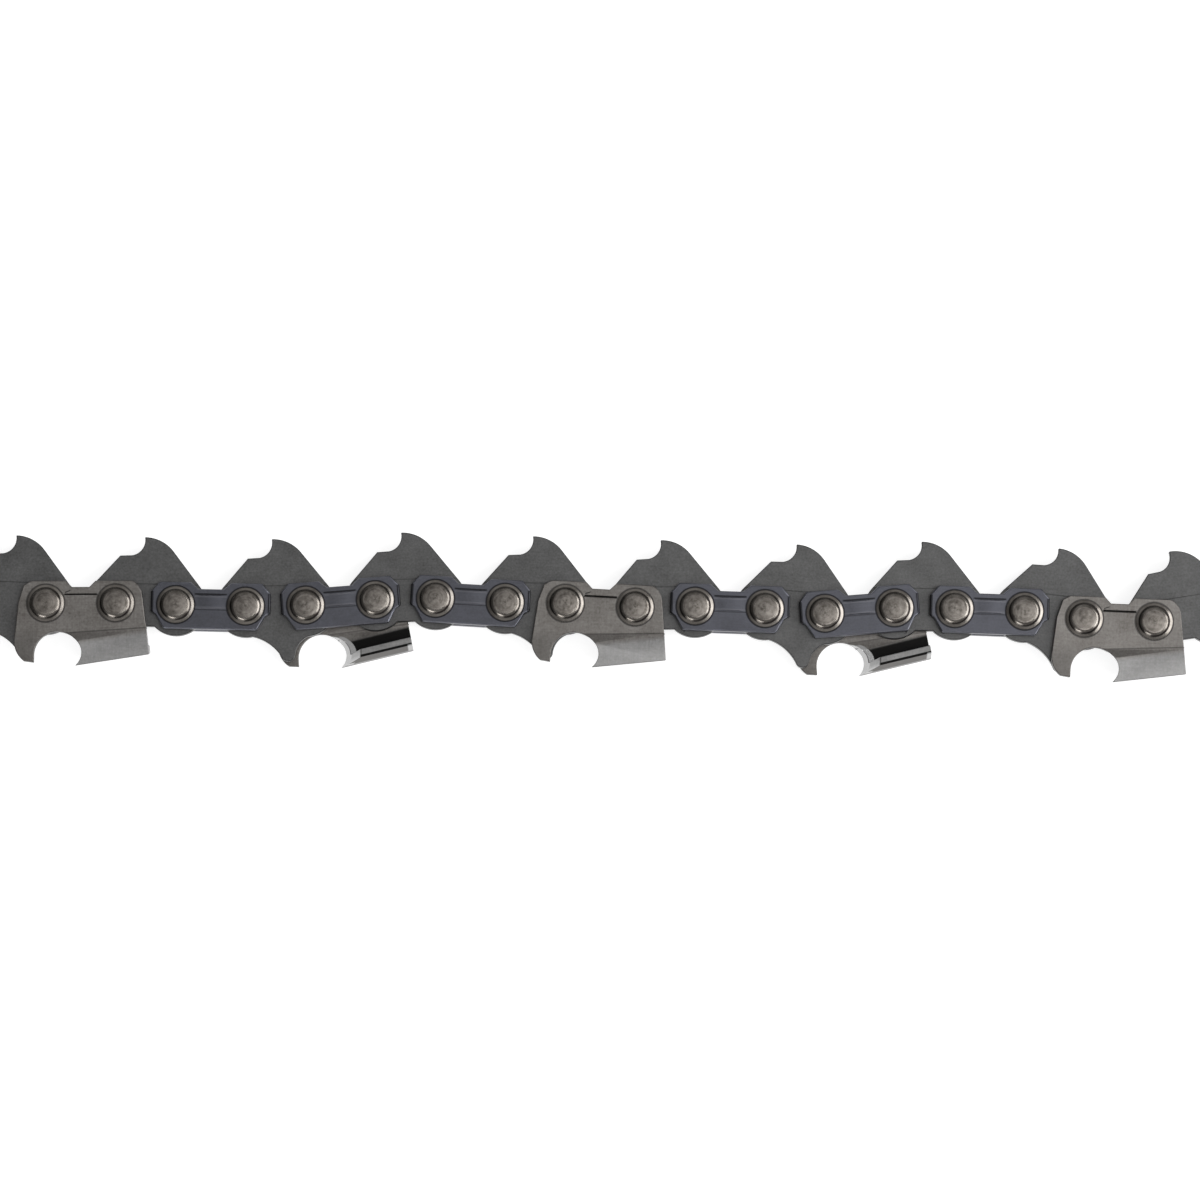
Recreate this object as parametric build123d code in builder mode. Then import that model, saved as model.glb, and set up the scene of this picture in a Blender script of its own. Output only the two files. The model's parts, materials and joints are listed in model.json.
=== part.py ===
"""A stretch of chainsaw chain, lying on its side, with every link riveted so that it can turn.

X runs along the chain, Y points to the drive tangs and Z is up.  The chain lies on the rivet heads
of its lower side.  Ten drive links alternate with nine stations, and a station is two side plates
with two rivets: a tie strap on each side, or a cutter in place of one of them.
"""

import os
from math import acos, asin, atan2, cos, degrees, hypot, pi, radians, sin, tan

from build123d import *

# Pitches and thicknesses, in millimetres
plate_pitch = 8.88
drive_pitch = 7.63
drive_thickness = 1.5
plate_thickness = 1.25
side_clearance = 0.08

# Rivets
rivet_radius = 1.4
rivet_head_radius = 2.35
rivet_top_radius = 1.8
rivet_head_height = 0.55
head_side_count = 18
shank_side_count = 12
plate_hole_clearance = 0.02
drive_hole_clearance = 0.06

# Drive link: round feet about the rivets, and a hooked tang between them
foot_radius = 3.85
foot_gap_depth = 2.75
tang_shelf_start = (-3.5, 6.18)
tang_shelf_end = (-1.98, 6.26)
tang_notch_middle = (-0.74, 7.05)
tang_tip = (-0.43, 8.62)
tang_crown_middle = (1.6, 8.2)
tang_crown_end = (3.3, 6.85)

# Guard hump, on the drive links that run just ahead of a cutter
hump_front_foot_angle = -78.0
hump_front_middle = (-0.95, -4.72)
hump_peak_start = (0.75, -6.65)
hump_peak = (1.6, -7.0)
hump_peak_end = (2.3, -6.3)
hump_rear_middle = (2.9, -4.72)
hump_rear_foot_angle = -86.0

# Tie strap
strap_end_reach = 3.16
strap_top = 2.9
strap_bottom = 3.05
strap_waist_top = 2.07
strap_waist_half_length = 1.6
strap_waist_slope = 0.95
strap_corner_length = 1.07
strap_corner_height = 1.25
strap_edge_bottom = 0.9
strap_step = (0.65, 0.38)
strap_foot_inset = 1.52
strap_foot_step = (0.15, 0.28)
strap_rib_length = 4.06
strap_rib_width = 1.75
strap_rib_middle = 0.42
strap_rib_height = 0.1
strap_rib_end_slope = 0.85

# Cutter: body
cutter_top = 2.85
cutter_valley_top = 2.06
cutter_valley_half_length = 1.1
cutter_valley_slope = 0.78
cutter_front_corner = (2.8, 2.3)
cutter_front_bend = (3.5, 0.1)
cutter_front_top_inset = 1.85
cutter_rear_top_inset = 2.1
cutter_rear_round_middle = (2.86, 2.27)
cutter_rear_shoulder = (3.38, 1.0)
cutter_heel_reach = 4.3
cutter_groove_length = 4.1
cutter_groove_width = 0.14
cutter_groove_depth = 0.06
cutter_groove_height = 1.1

# Cutter: gullet and depth gauge
gullet_centre = (1.49, -6.61)
gullet_radius = 2.99
gauge_reach = 4.0
gauge_shoulder_depth = 4.8
gauge_round_middle = (3.5, 6.58)
gauge_bottom_reach = 2.78
gauge_bottom_depth = 7.35
gauge_tip_depth = 7.52

# Cutter: side plate set outwards, top plate folded over the chain, and the round file that sharpens them
first_fold = 3.69
first_fold_lean = 3.6
cutter_front_set = 0.6
cutter_heel_set = 0.11
cutter_set_lean = 24.0
cutting_corner = 7.93
cutting_lean = 8.73
top_plate_width = 4.2
top_plate_thickness = 1.2
top_plate_edge = 1.05
top_plate_rise = 0.5
filing_angle = 25.0
file_centre = (1.97, -6.34)
file_radius = 2.28

# Lean of each piece at rest, in degrees, from the left end: drive link, station, drive link and so on
rest_leans = (
    -2.4, 0.2, -1.6, -1.3, 1.0, 4.5, 1.2, -3.3, -0.8, -3.2,
    0.9, -2.0, -4.5, 4.5, -0.8, -2.0, -7.1, -2.4, 8.8,
)
first_rivet_y = 0.8265

# Stations whose upper or lower side plate is a cutter, and drive links with a guard hump
upper_cutter_stations = (1, 5, 9)
lower_cutter_stations = (3, 7)
guard_links = (1, 3, 5, 7, 9)

# Heights of the layers
plate_inner = drive_thickness / 2 + side_clearance
plate_outer = plate_inner + plate_thickness
rivet_end = plate_outer + rivet_head_height
middle_height = rivet_end
plate_hole_radius = rivet_radius + plate_hole_clearance
drive_hole_radius = rivet_radius + drive_hole_clearance
half_plate_pitch = plate_pitch / 2
half_drive_pitch = drive_pitch / 2
half_turn = degrees(pi)


def on_circle(centre, radius, angle):
    """Point of a circle at an angle in degrees."""
    x, y = centre
    return (x + radius * cos(radians(angle)), y + radius * sin(radians(angle)))


def touch_angle(point, centre, radius, turn):
    """Angle, in degrees, at which the straight line from a point outside a circle touches it."""
    dx = point[0] - centre[0]
    dy = point[1] - centre[1]
    return degrees(atan2(dy, dx) + turn * acos(radius / hypot(dx, dy)))


def place(centre, lean):
    """Plane through the middle of the chain, at the middle of a piece and along its two rivets."""
    along = (cos(radians(lean)), sin(radians(lean)), 0)
    return Plane(origin=(centre[0], centre[1], middle_height), x_dir=along, z_dir=(0, 0, 1))


def save(piece, name):
    """Label a finished piece and write it as its own file."""
    piece.label = name
    export_step(piece, f"parts/{name}.step")


def make_drive_link(name, where, has_hump):
    """Drive link: a flat blank with two round feet, two rivet holes and a hooked tang."""
    left = (-half_drive_pitch, 0)
    right = (half_drive_pitch, 0)
    left_touch = touch_angle(tang_shelf_start, left, foot_radius, 1)
    right_touch = touch_angle(tang_crown_end, right, foot_radius, -1)
    gap_angle = -degrees(asin(foot_gap_depth / foot_radius))
    left_end = hump_front_foot_angle if has_hump else gap_angle
    right_end = hump_rear_foot_angle if has_hump else -half_turn - gap_angle
    left_foot_start = on_circle(left, foot_radius, left_touch)
    left_foot_end = on_circle(left, foot_radius, left_end)
    right_foot_start = on_circle(right, foot_radius, right_end)
    right_foot_end = on_circle(right, foot_radius, right_touch)
    with BuildPart() as drive_link:
        with BuildSketch(where.offset(-drive_thickness / 2)):
            with BuildLine():
                Line(left_foot_start, tang_shelf_start)
                Line(tang_shelf_start, tang_shelf_end)
                ThreePointArc(tang_shelf_end, tang_notch_middle, tang_tip)
                ThreePointArc(tang_tip, tang_crown_middle, tang_crown_end)
                Line(tang_crown_end, right_foot_end)
                right_middle = on_circle(right, foot_radius, (right_end + right_touch) / 2)
                ThreePointArc(right_foot_end, right_middle, right_foot_start)
                if has_hump:
                    ThreePointArc(right_foot_start, hump_rear_middle, hump_peak_end)
                    ThreePointArc(hump_peak_end, hump_peak, hump_peak_start)
                    ThreePointArc(hump_peak_start, hump_front_middle, left_foot_end)
                else:
                    Line(right_foot_start, left_foot_end)
                left_middle = on_circle(left, foot_radius, (left_end + left_touch) / 2 + half_turn)
                ThreePointArc(left_foot_end, left_middle, left_foot_start)
            make_face()
            with Locations(left, right):
                Circle(drive_hole_radius, mode=Mode.SUBTRACT)
        extrude(amount=drive_thickness)
    save(drive_link.part, name)


def make_tie_strap(name, where, side):
    """Tie strap: a flat plate with cropped corners, a waist on the tang side, two rivet holes and a low
    rib between them on its outer face."""
    end = half_plate_pitch + strap_end_reach
    step_end = (end - strap_step[0], -strap_edge_bottom - strap_step[1])
    foot_start = (end - strap_foot_inset, -strap_bottom + strap_foot_step[1])
    rib_top = (strap_rib_length - 2 * strap_rib_end_slope, strap_rib_width - 2 * strap_rib_height)
    with BuildPart() as tie_strap:
        with BuildSketch(where.offset(side * plate_inner)):
            with BuildLine():
                Polyline(
                    (0, strap_waist_top),
                    (strap_waist_half_length, strap_waist_top),
                    (strap_waist_half_length + strap_waist_slope, strap_top),
                    (end - strap_corner_length, strap_top),
                    (end, strap_top - strap_corner_height),
                    (end, -strap_edge_bottom),
                    step_end,
                    foot_start,
                    (foot_start[0] - strap_foot_step[0], -strap_bottom),
                    (0, -strap_bottom),
                )
                mirror(about=Plane.YZ)
            make_face()
            with GridLocations(plate_pitch, 0, 2, 1):
                RegularPolygon(plate_hole_radius, shank_side_count, mode=Mode.SUBTRACT)
        extrude(amount=side * plate_thickness)
        with BuildSketch(where.offset(side * plate_outer)):
            with Locations((0, strap_rib_middle)):
                Rectangle(strap_rib_length, strap_rib_width)
        with BuildSketch(where.offset(side * (plate_outer + strap_rib_height))):
            with Locations((0, strap_rib_middle)):
                Rectangle(*rib_top)
        loft(ruled=True)
    save(tie_strap.part, name)


def make_cutter(name, where, side):
    """Cutter: a side plate with its depth gauge, set outwards behind the gullet, and the top plate
    that is folded from it over the middle of the chain.  A round file held across the chain at an
    angle hollows out the front of both."""
    front = -half_plate_pitch
    rear = half_plate_pitch
    inner_corner_rise = top_plate_thickness + plate_thickness * top_plate_rise / top_plate_width
    gullet = (front + gullet_centre[0], gullet_centre[1])
    gullet_left = gullet[0] - gullet_radius
    file_x = front + file_centre[0]
    rear_shoulder = (rear + cutter_rear_shoulder[0], cutter_rear_shoulder[1])
    heel_x = rear + cutter_heel_reach

    def on_first_fold(x):
        """Height of the first fold line at a distance along the chain."""
        return x * tan(radians(first_fold_lean)) - first_fold

    def on_cutting_corner(x):
        """Height of the corner between side plate and top plate at a distance along the chain."""
        return x * tan(radians(cutting_lean)) - cutting_corner

    heel = (heel_x, on_cutting_corner(heel_x))
    rear_slope = (heel[0] - rear_shoulder[0]) / (rear_shoulder[1] - heel[1])
    fold_rear_x = rear_shoulder[0] + rear_slope * (rear_shoulder[1] - on_first_fold(rear_shoulder[0]))
    filing = radians(filing_angle)
    corner_height = side * (plate_outer + cutter_front_set)
    file_plane = Plane(
        origin=where.from_local_coords(Vector(file_x, file_centre[1], corner_height)),
        x_dir=where.x_dir * cos(filing) + where.z_dir * side * sin(filing),
        z_dir=where.z_dir * cos(filing) - where.x_dir * side * sin(filing),
    )
    reach = plate_pitch + cutter_heel_reach
    with BuildPart() as folded:
        for x, outward_set in ((file_x, cutter_front_set), (heel_x, cutter_heel_set)):
            outside = plate_outer + outward_set
            inside = plate_inner + outward_set
            inner_edge = outside - top_plate_width
            corner = on_cutting_corner(x)
            second_fold = on_first_fold(x) - outward_set / tan(radians(cutter_set_lean))
            section = Plane(
                origin=where.from_local_coords(Vector(x, 0, 0)), x_dir=where.y_dir, z_dir=where.x_dir
            )
            with BuildSketch(section):
                with BuildLine():
                    Polyline(
                        (on_first_fold(x), side * plate_outer),
                        (second_fold, side * outside),
                        (corner, side * outside),
                        (corner + top_plate_rise, side * inner_edge),
                        (corner + top_plate_rise + top_plate_edge, side * inner_edge),
                        (corner + inner_corner_rise, side * inside),
                        (second_fold, side * inside),
                        (on_first_fold(x), side * plate_inner),
                        close=True,
                    )
                make_face()
        loft(ruled=True)
    # The edges of the two sections are parallel, so each side between them is flat
    flat_sides = [Face(spanned.outer_wire()) for spanned in folded.faces()]
    with BuildPart() as cutter:
        add(Solid(Shell(flat_sides)))
        with BuildSketch(where):
            with BuildLine():
                Polyline(
                    (file_x, -cutting_corner - gullet_radius),
                    (file_x, rear_shoulder[1]),
                    rear_shoulder,
                    heel,
                    (heel[0], -cutting_corner - gullet_radius),
                    close=True,
                )
            make_face()
            with Locations(gullet):
                Circle(gullet_radius, arc_size=half_turn, align=None, mode=Mode.SUBTRACT)
        extrude(amount=reach, both=True, mode=Mode.INTERSECT)
        with BuildSketch(where.offset(side * plate_inner)):
            with BuildLine():
                Polyline(
                    (front - gauge_reach, -gauge_shoulder_depth),
                    (front - cutter_front_bend[0], cutter_front_bend[1]),
                    (front - cutter_front_corner[0], cutter_front_corner[1]),
                    (front - cutter_front_top_inset, cutter_top),
                    (-cutter_valley_half_length - cutter_valley_slope, cutter_top),
                    (-cutter_valley_half_length, cutter_valley_top),
                    (cutter_valley_half_length, cutter_valley_top),
                    (cutter_valley_half_length + cutter_valley_slope, cutter_top),
                    (rear + cutter_rear_top_inset, cutter_top),
                )
                ThreePointArc(
                    (rear + cutter_rear_top_inset, cutter_top),
                    (rear + cutter_rear_round_middle[0], cutter_rear_round_middle[1]),
                    rear_shoulder,
                )
                Polyline(
                    rear_shoulder,
                    (fold_rear_x, on_first_fold(fold_rear_x)),
                    (gullet[0], on_first_fold(gullet[0])),
                    gullet,
                    (gullet_left, gullet[1]),
                    (gullet_left, -gauge_tip_depth),
                    (front - gauge_bottom_reach, -gauge_bottom_depth),
                )
                ThreePointArc(
                    (front - gauge_bottom_reach, -gauge_bottom_depth),
                    (front - gauge_round_middle[0], -gauge_round_middle[1]),
                    (front - gauge_reach, -gauge_shoulder_depth),
                )
            make_face()
            with Locations(gullet):
                Circle(gullet_radius, mode=Mode.SUBTRACT)
            with GridLocations(plate_pitch, 0, 2, 1):
                RegularPolygon(plate_hole_radius, shank_side_count, mode=Mode.SUBTRACT)
        extrude(amount=side * plate_thickness)
        with BuildSketch(file_plane):
            Circle(file_radius)
            Rectangle(file_radius, file_radius, align=(Align.MAX, Align.MAX))
        extrude(amount=reach, both=True, mode=Mode.SUBTRACT)
        with BuildSketch(where.offset(side * plate_outer)):
            with Locations((0, cutter_groove_height)):
                Rectangle(cutter_groove_length, cutter_groove_width)
        extrude(amount=-side * cutter_groove_depth, mode=Mode.SUBTRACT)
    save(cutter.part, name)


def make_rivet(name, where, x):
    """Rivet: a shank through both plates and the drive link, with a bevelled head at each end.  Its
    rounds are drawn with flats, and the flats of the shank hold it still in the two plates."""
    centre = where.from_local_coords(Vector(x, 0, 0))
    bevel = (rivet_head_radius - rivet_top_radius) * cos(pi / head_side_count)
    head_taper = degrees(atan2(bevel, rivet_head_height))
    with BuildPart() as rivet:
        with BuildSketch(Plane(centre, x_dir=where.x_dir, z_dir=where.z_dir)):
            RegularPolygon(rivet_radius, shank_side_count)
        extrude(amount=plate_outer, both=True)
        for side in (-1, 1):
            outwards = Plane(centre, x_dir=where.x_dir, z_dir=where.z_dir * side)
            head_base = outwards.offset(plate_outer)
            with BuildSketch(head_base):
                RegularPolygon(rivet_head_radius, head_side_count)
            extrude(amount=rivet_head_height)
            upright = rivet.faces().filter_by(Axis.Z, reverse=True)
            head_sides = upright.sort_by(Axis(centre, outwards.z_dir))[-head_side_count:]
            draft(head_sides, head_base, head_taper)
    save(rivet.part, name)


def lay_out():
    """Rivet centres along the chain at rest, from the leans, with the two end rivets evenly about X = 0."""
    x = 0.0
    y = first_rivet_y
    centres = [(x, y)]
    for index, lean in enumerate(rest_leans):
        pitch = drive_pitch if index % 2 == 0 else plate_pitch
        x += pitch * cos(radians(lean))
        y += pitch * sin(radians(lean))
        centres.append((x, y))
    return [(centre[0] - x / 2, centre[1]) for centre in centres]


def middle_of(start, end):
    """Point midway between two rivet centres."""
    return ((start[0] + end[0]) / 2, (start[1] + end[1]) / 2)


os.makedirs("parts", exist_ok=True)
rivet_centres = lay_out()

for index, lean in enumerate(rest_leans):
    left_rivet = rivet_centres[index]
    right_rivet = rivet_centres[index + 1]
    where = place(middle_of(left_rivet, right_rivet), lean)
    number = index // 2 + 1
    if index % 2 == 0:
        kind = "guard_drive_link" if number in guard_links else "drive_link"
        make_drive_link(f"{kind}_{number}", where, number in guard_links)
        continue
    for level, side, cutter_stations in (
        ("upper", 1, upper_cutter_stations),
        ("lower", -1, lower_cutter_stations),
    ):
        if number in cutter_stations:
            make_cutter(f"{level}_cutter_{number}", where, side)
        else:
            make_tie_strap(f"{level}_tie_strap_{number}", where, side)
    make_rivet(f"left_rivet_{number}", where, -half_plate_pitch)
    make_rivet(f"right_rivet_{number}", where, half_plate_pitch)
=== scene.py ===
"""Looks of the stretch of saw chain: edges, spun rivets, steel finishes, light and camera.

The frame gives every link its place.  Links and plates are copies of the solids with rounded edges,
and the rivets are turned surfaces.  Sizes ending in _mm are millimetres, and meshes are in metres.
"""

import json
import math

import bmesh
import bpy
import numpy as np
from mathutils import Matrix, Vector


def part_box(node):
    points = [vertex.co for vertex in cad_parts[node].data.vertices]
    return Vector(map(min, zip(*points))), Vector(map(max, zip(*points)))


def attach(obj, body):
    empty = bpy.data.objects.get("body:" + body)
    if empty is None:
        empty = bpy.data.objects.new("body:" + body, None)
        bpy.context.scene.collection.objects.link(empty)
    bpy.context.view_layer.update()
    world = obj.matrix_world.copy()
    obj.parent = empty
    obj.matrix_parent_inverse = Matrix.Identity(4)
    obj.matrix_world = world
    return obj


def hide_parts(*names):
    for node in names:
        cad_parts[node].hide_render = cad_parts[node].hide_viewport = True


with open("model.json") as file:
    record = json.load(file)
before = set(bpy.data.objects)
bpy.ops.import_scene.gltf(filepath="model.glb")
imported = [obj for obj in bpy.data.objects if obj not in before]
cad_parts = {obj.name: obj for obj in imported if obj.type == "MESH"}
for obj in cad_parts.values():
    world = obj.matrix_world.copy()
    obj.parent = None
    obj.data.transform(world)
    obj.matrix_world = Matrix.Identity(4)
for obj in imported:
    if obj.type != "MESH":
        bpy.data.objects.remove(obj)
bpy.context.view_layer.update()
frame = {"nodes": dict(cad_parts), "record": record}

METRES = 0.001
STATIONS = 9
DRIVE_LINKS = 10

# Camera: nearly straight down, leaning a little to the cutters
frame_width_mm = 152.3
view_centre_mm = (0.06, 0.855, 5.26)
view_lean_deg = 5.0
camera_distance_mm = 1000.0
camera_reach_mm = 10000.0
sensor_width_mm = 36.0

# Rounded edges of the punched plates
drive_edge_mm = 0.1
strap_edge_mm = 0.18
cutter_edge_mm = 0.1
edge_segments = 3
merge_distance_mm = 0.002
flat_angle_deg = 1.0
crisp_angle_deg = 20.0
rounded_angle_deg = 60.0

# Rivet: its radii, the height of its head, heights above the base of the head, and the rise of the crown
rivet_shank_mm = 1.36
rivet_rim_mm = 2.36
rivet_foot_mm = 1.97
rivet_top_mm = 1.45
rivet_dot_mm = 0.2
rivet_head_mm = 0.55
rivet_foot_height_mm = 0.17
rivet_rim_height_mm = 0.03
rivet_crown_mm = 0.07

# Points round a rivet, and along the crown, the shoulder and the flange of its profile
around_count = 72
crown_count = 10
shoulder_count = 12
flange_count = 9

# Rivets of a side plate, out from its middle, and the line of painted shade round their heads
rivet_from_middle_mm = 4.44
rivet_shade_ring_mm = 2.42

# Line scribed along the drive links, across from the line of their rivets
scribe_mm = 2.65

# Upright ends of the tie straps, where painted shade lies
strap_end_mm = 7.6
strap_end_middle_mm = 0.35
strap_end_half_mm = 1.3

# Raised panel in the middle of a tie strap
panel_half_length_mm = 2.03
panel_top_mm = 1.295
panel_bottom_mm = -0.455

# Cutter, in its own millimetres: height of a line where x = 0, and how it climbs along the cutter
first_fold_mm = -3.69
first_fold_slope = 0.0629
fold_mm = -4.795
fold_slope = 0.1611
corner_mm = -7.93
corner_slope = 0.1536
plate_rise_mm = 0.5

# Cutter, out from the middle of the chain: inside of the set plate, punched walls, free edge, and the set
inside_mm = 1.322
wall_low_mm = 0.83
wall_high_mm = 2.08
inner_edge_mm = -1.628
set_slope = -0.0437

# Cutter, along it: its rear end and the rear of its gullet
heel_mm = 8.74
gullet_rear_mm = -3.3

# File that cut the gullet: a point on its axis, its radius and its turn, and the bright hollow that it left
file_x_mm = -2.47
file_y_mm = -6.34
file_out_mm = 2.68
file_radius_mm = 2.28
file_turn_deg = 25.0
file_slope = math.tan(math.radians(file_turn_deg))
hollow_mm = 0.65
filed_level = 0.46

# Groove scribed in the cutters between their rivets, and the short stroke that climbs from its front end
groove_mm = 1.1
groove_half_length_mm = 2.05
stroke_mm = 1.34
stroke_length_mm = 0.95
stroke_slope = 0.366

# Light from all round: at the horizon, what is added overhead, and the share of that which the left lacks
horizon_level = 0.1
overhead_level = 0.55
left_loss = 0.85

# Floor, in metres, and how pale and how bright it is
floor_half = 3.0
floor_level = 0.45
floor_glow = 0.8

# Marks that differ from piece to piece
seed_step = 7.31


class Value:
    """A socket of a finish, used in Python sums: the operators add Math nodes."""

    def __init__(self, finish, socket):
        self.finish = finish
        self.socket = socket

    def math(self, operation, *others):
        """The value and the others put through one Math node."""
        sockets = dict(enumerate((self,) + others))
        return self.finish.node("ShaderNodeMath", {"operation": operation}, sockets)

    def __add__(self, other):
        return self.math("ADD", other)

    def __sub__(self, other):
        return self.math("SUBTRACT", other)

    def __mul__(self, other):
        return self.math("MULTIPLY", other)

    def __rsub__(self, other):
        return (self * -1.0).math("ADD", other)

    __radd__ = __add__
    __rmul__ = __mul__

    def limit(self):
        """The value kept between 0 and 1."""
        return self.finish.node("ShaderNodeClamp", {}, {"Value": self})

    def rise(self, low, high):
        """0 below low, 1 above high, and a smooth step between them."""
        return self.finish.node(
            "ShaderNodeMapRange",
            {"interpolation_type": "SMOOTHSTEP"},
            {"Value": self, "From Min": low, "From Max": high},
        )

    def slant(self, across):
        """Length of a slanted line that runs this far one way and the other value across it."""
        return (self * self + across * across).math("SQRT")

    def band(self, middle, half_width, soft):
        """1 within half_width of the middle, and 0 beyond a soft margin."""
        distance = (self - middle).math("ABSOLUTE")
        return 1.0 - distance.rise(half_width, half_width + soft)


class Finish:
    """A material, or the world, being put together."""

    def __init__(self, owner):
        self.owner = owner
        owner.use_nodes = True
        self.tree = owner.node_tree
        self.tree.nodes.clear()

    def node(self, kind, settings, sockets, output=0):
        """Add a node, set its settings, then set or link its sockets, and give one output."""
        made = self.tree.nodes.new(kind)
        for key, value in settings.items():
            setattr(made, key, value)
        for key, value in sockets.items():
            if isinstance(value, Value):
                self.tree.links.new(value.socket, made.inputs[key])
            else:
                made.inputs[key].default_value = value
        return Value(self, made.outputs[output]) if made.outputs else None

    def own(self):
        """The piece's own millimetres: along it, across it to the tang side, and out of its face."""
        return self.node("ShaderNodeAttribute", {"attribute_name": "own_mm"}, {}, "Vector")

    def seed(self):
        """A number that differs from piece to piece."""
        return self.node("ShaderNodeAttribute", {"attribute_name": "own_seed"}, {}, "Fac")

    def parts(self, vector):
        """The three numbers of a vector."""
        split = self.node("ShaderNodeSeparateXYZ", {}, {"Vector": vector})
        outputs = split.socket.node.outputs
        return [Value(self, outputs[index]) for index in range(3)]

    def vector(self, x, y, z):
        """A vector of three numbers."""
        return self.node("ShaderNodeCombineXYZ", {}, {"X": x, "Y": y, "Z": z})

    def noise(self, vector, scale, detail, seed):
        """Noise about 0, between -0.5 and 0.5, with features about 1 / scale long."""
        made = self.node(
            "ShaderNodeTexNoise",
            {"noise_dimensions": "4D"},
            {"Vector": vector, "W": seed, "Scale": scale, "Detail": detail},
        )
        return made - 0.5

    def blend(self, factor, first, second):
        """Colour between two colours."""
        return self.node(
            "ShaderNodeMix", {"data_type": "RGBA"}, {"Factor": factor, "A": first, "B": second}, "Result"
        )

    def shade_round_rivets(self, x, y):
        """1 on a thin ring round each of the two rivet heads of a side plate, where painted shade goes."""
        from_rivet = x.math("ABSOLUTE") - rivet_from_middle_mm
        return from_rivet.slant(y).band(rivet_shade_ring_mm, 0.06, 0.08)

    def bump(self, height, strength, distance_mm):
        """Normal of a surface that rises by distance_mm where the height rises by 1."""
        return self.node(
            "ShaderNodeBump",
            {},
            {"Height": height, "Strength": strength, "Distance": distance_mm * METRES},
        )

    def metal(self, colour, roughness, metallic, normal):
        """Close the material with a principled metal."""
        shader = self.node(
            "ShaderNodeBsdfPrincipled",
            {},
            {"Base Color": colour, "Roughness": roughness, "Metallic": metallic, "Normal": normal},
        )
        self.node("ShaderNodeOutputMaterial", {}, {"Surface": shader})
        return self.owner


def grey(level, warmth=0.0):
    """Colour of a level, with a little more red and less blue where it is warm."""
    return (level * (1.0 + warmth), level, level * (1.0 - warmth), 1.0)


def drive_link_steel(name, level):
    """Dark tumbled steel: fine grain, faint rolling strokes along the link and a scribed line."""
    finish = Finish(bpy.data.materials.new(name))
    own = finish.own()
    seed = finish.seed()
    x, y, z = finish.parts(own)
    grain = finish.noise(own, 4.0, 5.0, seed)
    clouds = finish.noise(own, 0.35, 3.0, seed)
    strokes = finish.noise(finish.vector(x * 0.5, y * 6.0, z), 1.0, 3.0, seed)
    scribe = y.band(scribe_mm, 0.03, 0.06)
    shade = (0.5 + grain * 1.3 + clouds * 0.8 + strokes * 0.4).limit()
    colour = finish.blend(shade, grey(level * 0.62, 0.01), grey(level * 1.38, 0.0))
    colour = finish.blend(scribe * 0.5, colour, grey(level * 0.3))
    roughness = 0.42 + grain * 0.2
    normal = finish.bump(grain * 0.5 + strokes * 0.4 - scribe * 2.0, 0.3, 0.02)
    return finish.metal(colour, roughness, 0.95, normal)


def strap_steel(name, level):
    """Blued steel: smooth, with a violet cast that comes and goes.  A painted highlight runs along the two
    long edges of the raised panel, and painted shade darkens the steel beside it, round the rivets and at the
    upright ends."""
    finish = Finish(bpy.data.materials.new(name))
    own = finish.own()
    seed = finish.seed()
    x, y, z = finish.parts(own)
    grain = finish.noise(own, 4.0, 4.0, seed)
    clouds = finish.noise(own, 0.3, 2.0, seed)
    strokes = finish.noise(finish.vector(x * 0.6, y * 5.0, z), 1.0, 3.0, seed)
    shade = (0.5 + grain * 0.9 + clouds * 0.8 + strokes * 0.6).limit()
    dark_blue = (level * 0.76, level * 0.77, level * 0.88, 1.0)
    light_blue = (level * 1.18, level * 1.21, level * 1.42, 1.0)
    colour = finish.blend(shade, dark_blue, light_blue)
    length = x.math("ABSOLUTE")
    beside_panel = 1.0 - length.rise(panel_half_length_mm - 0.1, panel_half_length_mm + 0.15)
    # Painted highlight along the two long edges of the raised panel
    panel_edge_highlight = y.band(panel_top_mm - 0.18, 0.08, 0.08) + y.band(panel_bottom_mm + 0.15, 0.1, 0.08)
    # Painted shade just beyond the panel's long edges
    strap_shade = y.band(panel_top_mm + 0.12, 0.07, 0.06) + y.band(panel_bottom_mm - 0.12, 0.04, 0.06) * 0.6
    # Painted shade at the upright ends
    end_shade = length.rise(strap_end_mm - 0.4, strap_end_mm - 0.25)
    end_shade = end_shade * y.band(strap_end_middle_mm, strap_end_half_mm, 0.1)
    # The painted highlight is blended in as a paler blue
    colour = finish.blend(beside_panel * panel_edge_highlight * 0.55, colour, (level * 1.5, level * 1.52, level * 1.7, 1.0))
    strap_shade = (beside_panel * strap_shade + end_shade + finish.shade_round_rivets(x, y)).limit()
    # All the painted shade is blended in as nearly black
    colour = finish.blend(strap_shade * 0.8, colour, grey(level * 0.05))
    roughness = 0.34 + grain * 0.15
    normal = finish.bump(grain * 0.6 + strokes * 0.4, 0.25, 0.02)
    return finish.metal(colour, roughness, 0.95, normal)


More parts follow.
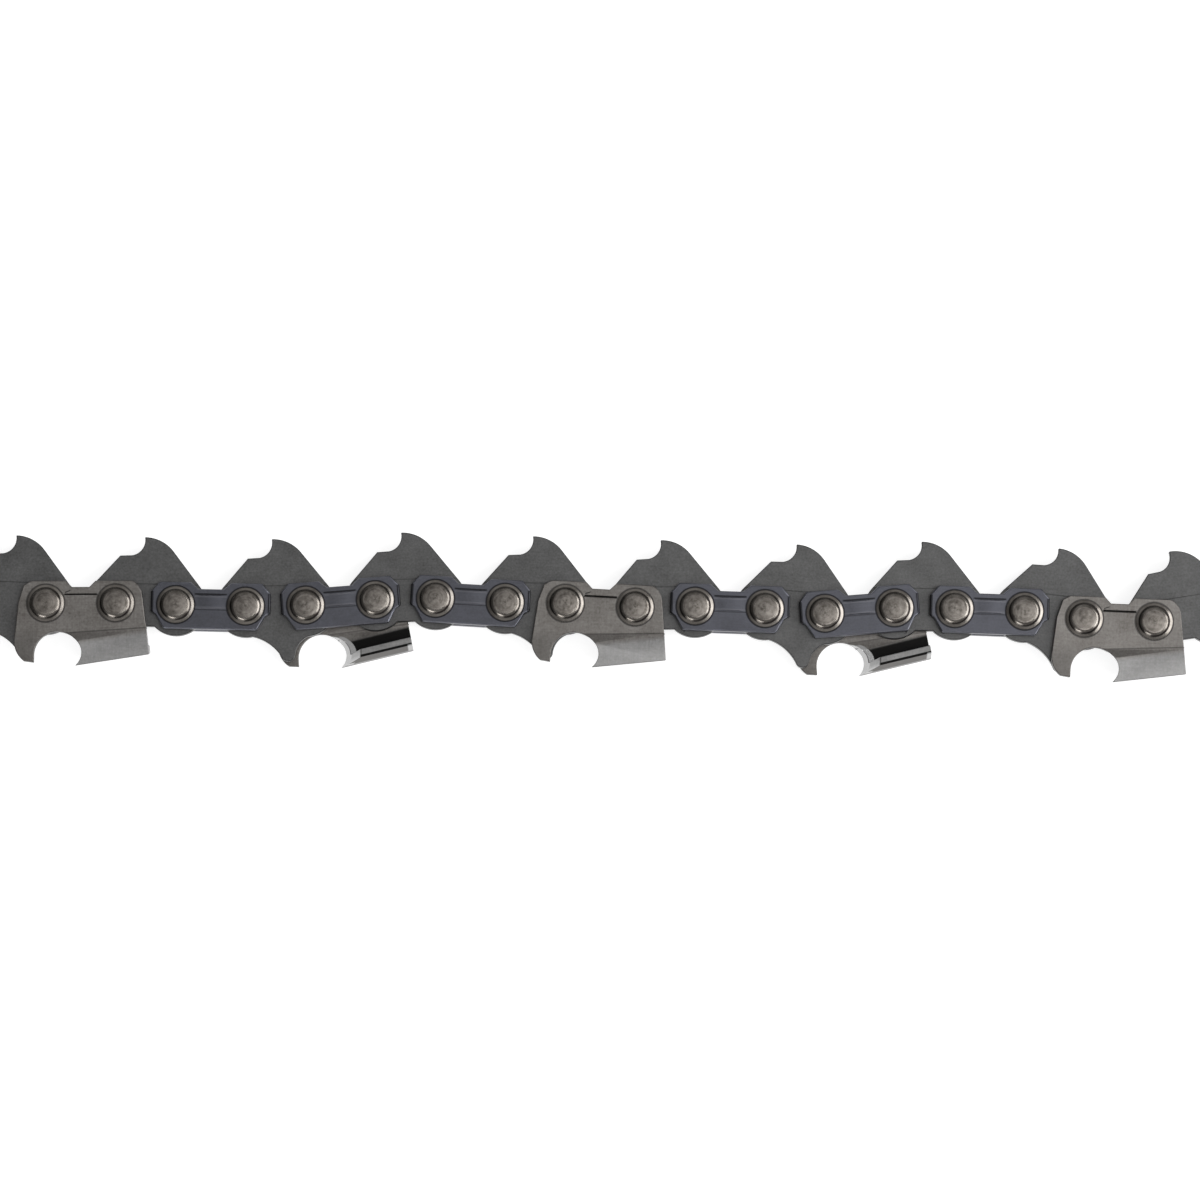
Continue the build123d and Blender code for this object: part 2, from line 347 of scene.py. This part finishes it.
def cutter_steel(name, level):
    """Satin steel, brushed both ways.  Painted shade darkens its punched walls, its first fold and a ring
    round its rivets, and makes the inside of the fold nearly black; a painted glint brightens the rear end of
    its top plate.  It is darker on its depth gauge and where it is scribed, paler where it is hard-chromed
    beyond the second fold, and bright where the file has hollowed it."""
    finish = Finish(bpy.data.materials.new(name))
    own = finish.own()
    seed = finish.seed()
    x, y, out = finish.parts(own)
    grain = finish.noise(own, 4.0, 5.0, seed)
    clouds = finish.noise(own, 0.3, 3.0, seed)
    strokes = finish.noise(finish.vector(x * 6.0, y * 0.5, out * 6.0), 1.0, 3.0, seed)
    streaks = finish.noise(finish.vector(x * 0.5, y * 5.0, out * 5.0), 1.0, 3.0, seed)
    shade = (0.5 + grain * 1.1 + clouds * 0.8 + strokes * 0.5 + streaks * 0.6).limit()

    # Where a point lies: behind the gullet, past each fold, above the cutting corner, and out from the inside
    behind = x.rise(gullet_rear_mm, gullet_rear_mm + 0.3)
    past_first = x * first_fold_slope + first_fold_mm - y
    past_fold = x * fold_slope + fold_mm - y
    above_corner = y - x * corner_slope - corner_mm
    from_inside = out - x * set_slope - inside_mm
    inside = 1.0 - from_inside.rise(0.1, 0.4)
    side_plate = from_inside.rise(-0.4, -0.25)
    hidden_edge = (out - x * set_slope - inner_edge_mm).rise(0.0, 0.15)

    # Folds, walls and the parts of the top plate, with painted shade and a painted glint
    chromed = past_fold.rise(-0.2, 0.7) * behind
    gauge = (1.0 - x.rise(gullet_rear_mm - 4.0, gullet_rear_mm)) * past_first.rise(-1.5, 1.0)
    # Painted shade along the first fold
    crease_shade = past_first.band(0.0, 0.05, 0.07) * behind
    # Painted shade on the punched walls
    shaded_wall = out.rise(wall_low_mm + 0.05, wall_low_mm + 0.15)
    shaded_wall = shaded_wall * (1.0 - out.rise(wall_high_mm - 0.2, wall_high_mm - 0.1))
    shaded_wall = shaded_wall * (1.0 - past_first.rise(-0.1, 0.1) * behind)
    fade = 0.5 + x.rise(-0.1, 1.3) * 0.5
    # Painted shade, nearly black, inside the fold and in a thin line along the inner edge of the top plate
    inner_fold_shade = past_fold.rise(-0.15, 0.3) * behind * inside * side_plate
    inner_fold_shade = inner_fold_shade * above_corner.rise(0.8, 1.0) * fade
    inner_line_shade = (1.0 - hidden_edge) * above_corner.band(plate_rise_mm + 0.1, 0.18, 0.05)
    top_face = inside * (1.0 - above_corner.rise(0.55, 0.7))
    # Painted glint at the rear end of the top plate
    heel_glint = top_face * x.rise(heel_mm - 0.75, heel_mm - 0.55)

    # Scribed groove and its stroke, on the outer face
    scribed_face = out.rise(wall_high_mm - 0.18, wall_high_mm - 0.08)
    past_groove = x.math("ABSOLUTE").rise(groove_half_length_mm, groove_half_length_mm + 0.05)
    groove = y.band(groove_mm, 0.06, 0.04) * (1.0 - past_groove)
    along_stroke = x + groove_half_length_mm
    stroke = (y - along_stroke * stroke_slope).band(stroke_mm, 0.06, 0.05)
    past_stroke = along_stroke.rise(stroke_length_mm * 0.6, stroke_length_mm)
    stroke = stroke * along_stroke.rise(0.0, 0.1) * (1.0 - past_stroke)
    scribed = (groove + stroke).limit() * scribed_face

    # Thin bright line where the file cut, and the hollow behind it
    across_file = (x - file_x_mm + (out - file_out_mm) * file_slope) * math.cos(math.radians(file_turn_deg))
    up_file = y - file_y_mm
    filed = across_file.slant(up_file).band(file_radius_mm, 0.03, 0.05)
    filed = filed * (1.0 - inside * above_corner.rise(0.4, 0.9) * 0.7)
    hollow = 1.0 - (across_file - hollow_mm).slant(up_file).rise(file_radius_mm, file_radius_mm + 0.08)
    hollow = hollow * inside * side_plate

    # One finish over another
    colour = finish.blend(shade, grey(level * 0.6, 0.09), grey(level * 1.4, 0.05))
    pale = finish.blend(shade, grey(level * 1.1, 0.01), grey(level * 1.9, 0.01))
    colour = finish.blend(chromed * (1.0 - top_face), colour, pale)
    # Darker tone on the depth gauge, and painted shade along the first fold
    colour = finish.blend((gauge * 0.35 + crease_shade * 0.6).limit(), colour, grey(level * 0.3, 0.05))
    # Painted shade on the punched walls
    colour = finish.blend(shaded_wall * 0.8, colour, grey(level * 0.1))
    # Painted shade round the rivets
    colour = finish.blend(finish.shade_round_rivets(x, y) * 0.7, colour, grey(level * 0.1))
    colour = finish.blend(scribed * 0.75, colour, grey(level * 0.08))
    colour = finish.blend(top_face * 0.5, colour, grey(level * 0.4, 0.04))
    # Painted shade inside the fold
    colour = finish.blend((inner_fold_shade + inner_line_shade).limit(), colour, grey(level * 0.06, 0.02))
    # Bright filed steel, and the painted glint at the rear end of the top plate
    bright = (filed + hollow + heel_glint * 0.75).limit()
    colour = finish.blend(bright, colour, grey(filed_level))
    roughness = (0.38 + grain * 0.2 + top_face * 0.2) * (1.0 - bright * 0.5)
    normal = finish.bump(grain * 0.4 + strokes * 0.3 + streaks * 0.3 - stroke * scribed_face, 0.25, 0.02)
    return finish.metal(colour, roughness, 1.0, normal)


def rivet_steel(name, level):
    """Spun steel: fine rings and faint smears on the crown, a dark dot in its middle, a flange made paler by
    a painted sheen, and painted shade at the foot of the shoulder and along the rim, all with a bronze cast."""
    finish = Finish(bpy.data.materials.new(name))
    own = finish.own()
    seed = finish.seed()
    x, y, z = finish.parts(own)
    radius = x.slant(y)
    angle = y.math("ARCTAN2", x)
    sweep = finish.vector(radius * 1.6, angle.math("SINE") * 1.1, angle.math("COSINE") * 1.1)
    rings = finish.noise(finish.vector(radius * 9.0, angle.math("SINE") * 0.4, z), 1.0, 2.0, seed)
    smears = finish.noise(sweep, 1.2, 3.0, seed)
    grain = finish.noise(own, 3.0, 4.0, seed)
    # Painted sheen that makes the flange paler
    flange = radius.rise(rivet_foot_mm, rivet_foot_mm + 0.06)
    crown = 1.0 - radius.rise(rivet_top_mm - 0.15, rivet_top_mm)
    dot = 1.0 - radius.rise(rivet_dot_mm * 0.3, rivet_dot_mm)
    # Painted shade at the foot of the shoulder and along the rim
    at_foot = radius.band(rivet_foot_mm - 0.06, 0.05, 0.12)
    at_rim = radius.rise(rivet_rim_mm - 0.1, rivet_rim_mm)
    rivet_shade = (at_foot + at_rim).limit()
    shade = (0.5 + smears * 1.9 + rings * 0.8 + grain * 1.0 + flange * 0.3).limit()
    colour = finish.blend(shade, grey(level * 0.5, 0.12), grey(level * 1.55, 0.09))
    colour = finish.blend(dot * 0.5, colour, grey(level * 0.3, 0.1))
    # The painted shade is blended in as dark bronze
    colour = finish.blend(rivet_shade * 0.75, colour, grey(level * 0.12, 0.1))
    roughness = 0.24 + crown * 0.1 + smears * 0.1
    normal = finish.bump((rings * 0.5 + smears * 1.3 + grain * 0.4) * crown, 0.3, 0.03)
    return finish.metal(colour, roughness, 1.0, normal)


def floor_white():
    """White floor: matt, and lit by itself for the camera and for reflections, so that it keeps a shadow."""
    finish = Finish(bpy.data.materials.new("floor_white"))
    to_camera = finish.node("ShaderNodeLightPath", {}, {}, "Is Camera Ray")
    rays = to_camera.socket.node.outputs
    seen = to_camera + Value(finish, rays["Is Glossy Ray"]) + Value(finish, rays["Is Transmission Ray"])
    matt = finish.node("ShaderNodeBsdfDiffuse", {}, {"Color": grey(floor_level)})
    glow = finish.node("ShaderNodeEmission", {}, {"Strength": seen.limit() * floor_glow})
    both = finish.node("ShaderNodeAddShader", {}, {0: matt, 1: glow})
    finish.node("ShaderNodeOutputMaterial", {}, {"Surface": both})
    return finish.owner


def studio_world():
    """Even soft light from above and around, dim near the horizon and on the left."""
    finish = Finish(bpy.data.worlds.new("studio"))
    direction = finish.node("ShaderNodeTexCoord", {}, {}, "Generated")
    right, _, up = finish.parts(direction)
    left = 1.0 - right.rise(-0.8, -0.25)
    level = horizon_level + up.rise(0.02, 0.45) * (1.0 - left * left_loss) * overhead_level
    light = finish.node("ShaderNodeBackground", {}, {"Strength": level})
    finish.node("ShaderNodeOutputWorld", {}, {"Surface": light})
    return finish.owner


def rivet_centre(node):
    """Middle of a rivet, from the box of its solid."""
    low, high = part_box(node)
    return (low + high) / 2


def bore_centre(name):
    """Middle of an end bore, from the record's mounts."""
    mounts = {mount["name"]: mount for mount in frame["record"]["mounts"]}
    return Vector(mounts[name]["pos_m"])


def own_millimetres(points, left, right, side):
    """Each point's distance along the line between two rivets, across it, and out from the middle."""
    middle = (np.array(left) + np.array(right)) / 2
    along = np.array(right) - np.array(left)
    along = along / np.linalg.norm(along)
    across = np.array((-along[1], along[0], 0.0))
    out = np.array((0.0, 0.0, side))
    return (points - middle) @ np.stack((along, across, out), axis=1) / METRES


def mark(mesh, own, seed):
    """Store the piece's own millimetres and its seed on the points of its mesh."""
    place = mesh.attributes.new("own_mm", "FLOAT_VECTOR", "POINT")
    place.data.foreach_set("vector", own.astype(np.float32).ravel())
    number = mesh.attributes.new("own_seed", "FLOAT", "POINT")
    number.data.foreach_set("value", np.full(len(own), seed, np.float32))


def show(mesh, name, node, body):
    """Put a finished mesh in the scene in place of a CAD node."""
    piece = bpy.data.objects.new(name, mesh)
    bpy.context.scene.collection.objects.link(piece)
    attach(piece, body)
    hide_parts(node)
    return piece


def mesh_points(mesh):
    """All points of a mesh as one array."""
    points = np.empty(len(mesh.vertices) * 3)
    mesh.vertices.foreach_get("co", points)
    return points.reshape(-1, 3)


def finish_plate(node, body, slot, left, right, side, edge_mm, faces, edges):
    """Copy of a punched plate: its loose triangles are joined, its square edges are rounded, and its folds
    stay crisp."""
    mesh = bpy.data.meshes.new(f"{node}_mesh")
    builder = bmesh.new()
    builder.from_mesh(frame["nodes"][node].data)
    bmesh.ops.remove_doubles(builder, verts=builder.verts, dist=merge_distance_mm * METRES)
    bmesh.ops.dissolve_limit(
        builder, angle_limit=math.radians(flat_angle_deg), verts=builder.verts, edges=builder.edges
    )
    for edge in builder.edges:
        turn_deg = math.degrees(edge.calc_face_angle())
        edge.smooth = turn_deg < crisp_angle_deg or turn_deg > rounded_angle_deg
    builder.to_mesh(mesh)
    builder.free()
    mesh.materials.clear()
    mesh.materials.append(faces)
    mesh.materials.append(edges)
    mesh.polygons.foreach_set("material_index", np.zeros(len(mesh.polygons), np.int32))
    mesh.shade_smooth()
    points = mesh_points(mesh)
    seed = seed_step * len(bpy.data.meshes)
    mark(mesh, own_millimetres(points, left, right, side), seed)
    piece = show(mesh, f"{node}_finished", node, body)
    rounding = piece.modifiers.new("rounded_edges", "BEVEL")
    rounding.width = edge_mm * METRES
    rounding.segments = edge_segments
    rounding.limit_method = "ANGLE"
    rounding.angle_limit = math.radians(rounded_angle_deg)
    rounding.use_clamp_overlap = False
    rounding.material = 1
    shading = piece.modifiers.new("flat_faces", "WEIGHTED_NORMAL")
    shading.mode = "FACE_AREA"
    shading.weight = 100
    shading.keep_sharp = True


def rivet_profile(half_height_mm):
    """Radius and height of a rivet from the pole of its upper head to the middle of its shank.  The crown is
    a parabola, the shoulder a quarter of a cosine wave, and the flange round its foot a cone to the rim."""
    head_base = half_height_mm - rivet_head_mm
    foot_height = head_base + rivet_foot_height_mm
    rim_height = head_base + rivet_rim_height_mm
    shoulder_top = half_height_mm - rivet_crown_mm
    crown_radius = np.linspace(0.0, rivet_top_mm, crown_count, endpoint=False)
    crown_height = half_height_mm - rivet_crown_mm * (crown_radius / rivet_top_mm) ** 2
    fall = np.linspace(0.0, 1.0, shoulder_count)
    shoulder_radius = rivet_top_mm + (rivet_foot_mm - rivet_top_mm) * fall
    shoulder_height = foot_height + (shoulder_top - foot_height) * np.cos(math.pi / 2 * fall)
    flange_radius = np.linspace(rivet_foot_mm, rivet_rim_mm, flange_count)[1:]
    flange_height = np.linspace(foot_height, rim_height, flange_count)[1:]
    shank_radius = np.array((rivet_rim_mm, rivet_shank_mm, rivet_shank_mm))
    shank_height = np.array((head_base, head_base, 0.0))
    radius = np.concatenate((crown_radius, shoulder_radius, flange_radius, shank_radius))
    height = np.concatenate((crown_height, shoulder_height, flange_height, shank_height))
    return radius, height


def turned_mesh(name, radius, height):
    """Surface of a profile turned about the upright axis: point = (r cos a, r sin a, h).  The profile
    starts and ends on the axis, where the rings close in one pole each."""
    angle = np.linspace(0.0, 2 * math.pi, around_count, endpoint=False)
    ring_radius = radius[1:-1, None]
    ring_height = np.repeat(height[1:-1, None], around_count, axis=1)
    rings = np.stack((ring_radius * np.cos(angle), ring_radius * np.sin(angle), ring_height), axis=2)
    poles = np.array(((0.0, 0.0, height[0]), (0.0, 0.0, height[-1])))
    points = np.concatenate((rings.reshape(-1, 3), poles))
    rows = len(radius) - 2
    index = np.arange(rows * around_count).reshape(rows, around_count)
    onward = np.roll(index, -1, axis=1)
    quads = np.stack((index[:-1], index[1:], onward[1:], onward[:-1]), axis=2).reshape(-1, 4)
    top = np.full(around_count, len(points) - 2)
    bottom = np.full(around_count, len(points) - 1)
    top_fan = np.stack((top, index[0], onward[0]), axis=1)
    bottom_fan = np.stack((bottom, onward[-1], index[-1]), axis=1)
    mesh = bpy.data.meshes.new(name)
    mesh.from_pydata((points * METRES).tolist(), [], quads.tolist() + top_fan.tolist() + bottom_fan.tolist())
    mesh.shade_smooth()
    mesh.set_sharp_from_angle(angle=math.radians(rounded_angle_deg))
    return mesh


def finish_rivet(node, body, material):
    """Spun rivet, with a crowned head at both ends, in place of the solid with flats."""
    low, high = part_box(node)
    half_height_mm = (high.z - low.z) / 2 / METRES
    radius, height = rivet_profile(half_height_mm)
    radius = np.concatenate((radius, radius[-2::-1]))
    height = np.concatenate((height, -height[-2::-1]))
    mesh = turned_mesh(f"{node}_mesh", radius, height)
    points = mesh_points(mesh)
    mark(mesh, points / METRES, seed_step * len(bpy.data.meshes))
    mesh.vertices.foreach_set("co", (points + np.array(rivet_centre(node))).ravel())
    mesh.materials.append(material)
    show(mesh, f"{node}_finished", node, body)


def add_camera():
    """Camera over the chain, at the photograph's angle and width of view."""
    lens = bpy.data.cameras.new("camera")
    lens.sensor_width = sensor_width_mm
    lens.lens = sensor_width_mm * camera_distance_mm / frame_width_mm
    lens.clip_end = camera_reach_mm * METRES
    camera = bpy.data.objects.new("camera", lens)
    lean = math.radians(view_lean_deg)
    back = Vector((0.0, -math.sin(lean), math.cos(lean)))
    camera.location = (Vector(view_centre_mm) + back * camera_distance_mm) * METRES
    camera.rotation_euler = (lean, 0.0, 0.0)
    bpy.context.scene.collection.objects.link(camera)
    bpy.context.scene.camera = camera


def add_softbox(name, place, width, height, watts):
    """Soft lamp that faces the middle of the chain, with its place and size in metres."""
    lamp = bpy.data.lights.new(name, "AREA")
    lamp.shape = "RECTANGLE"
    lamp.size = width
    lamp.size_y = height
    lamp.energy = watts
    softbox = bpy.data.objects.new(name, lamp)
    softbox.location = place
    softbox.rotation_euler = (-Vector(place)).to_track_quat("-Z", "Y").to_euler()
    bpy.context.scene.collection.objects.link(softbox)


def add_floor():
    """Wide flat floor under the chain."""
    near = -floor_half
    far = floor_half
    corners = [(near, near, 0.0), (far, near, 0.0), (far, far, 0.0), (near, far, 0.0)]
    mesh = bpy.data.meshes.new("floor")
    mesh.from_pydata(corners, [], [(0, 1, 2, 3)])
    mesh.materials.append(floor_white())
    floor = bpy.data.objects.new("floor", mesh)
    bpy.context.scene.collection.objects.link(floor)


# Finishes of the faces, and of the rounded edges: darker copies give the edges of drive links and cutters
# painted shade, and a lighter copy gives the edges of tie straps a painted highlight
drive_finish = drive_link_steel("drive_link_steel_face", level=0.098)
drive_edge_shade = drive_link_steel("drive_link_steel_edge_shade", level=0.05)
strap_finish = strap_steel("strap_steel_face", level=0.084)
strap_edge_highlight = strap_steel("strap_steel_edge_highlight", level=0.12)
cutter_finish = cutter_steel("cutter_steel_face", level=0.158)
cutter_edge_shade = cutter_steel("cutter_steel_edge_shade", level=0.12)
rivet_finish = rivet_steel("rivet_steel_spun", level=0.14)

# Ends of the stations and of the drive links
left_rivets = [rivet_centre(f"left_rivet_{number}") for number in range(1, STATIONS + 1)]
right_rivets = [rivet_centre(f"right_rivet_{number}") for number in range(1, STATIONS + 1)]
drive_left = [bore_centre("left_end_bore")] + right_rivets
drive_right = left_rivets + [bore_centre("right_end_bore")]

bodies = frame["record"]["behaviour"]["bodies"]
for number in range(1, DRIVE_LINKS + 1):
    body = f"drive_{number}"
    ends = (drive_left[number - 1], drive_right[number - 1])
    for node in bodies[body]:
        finish_plate(node, body, "drive_link_steel", *ends, 1.0, drive_edge_mm, drive_finish, drive_edge_shade)

for number in range(1, STATIONS + 1):
    body = f"plates_{number}"
    ends = (left_rivets[number - 1], right_rivets[number - 1])
    for node in bodies[body]:
        side = 1.0 if node.startswith("upper") else -1.0
        if "rivet" in node:
            finish_rivet(node, body, rivet_finish)
        elif "cutter" in node:
            finish_plate(node, body, "cutter_steel", *ends, side, cutter_edge_mm, cutter_finish, cutter_edge_shade)
        else:
            finish_plate(node, body, "strap_steel", *ends, side, strap_edge_mm, strap_finish, strap_edge_highlight)

# Light, floor and camera
bpy.context.scene.world = studio_world()
bpy.context.scene.view_settings.view_transform = "Standard"
add_floor()
add_softbox("overhead_softbox", place=(0.45, -0.1, 1.95), width=0.7, height=0.7, watts=4.5)
add_softbox("right_softbox", place=(1.35, 0.0, 1.0), width=1.5, height=1.2, watts=26.0)
add_softbox("cutter_side_softbox", place=(-0.5, -1.2, 0.48), width=0.6, height=0.48, watts=5.0)
add_camera()
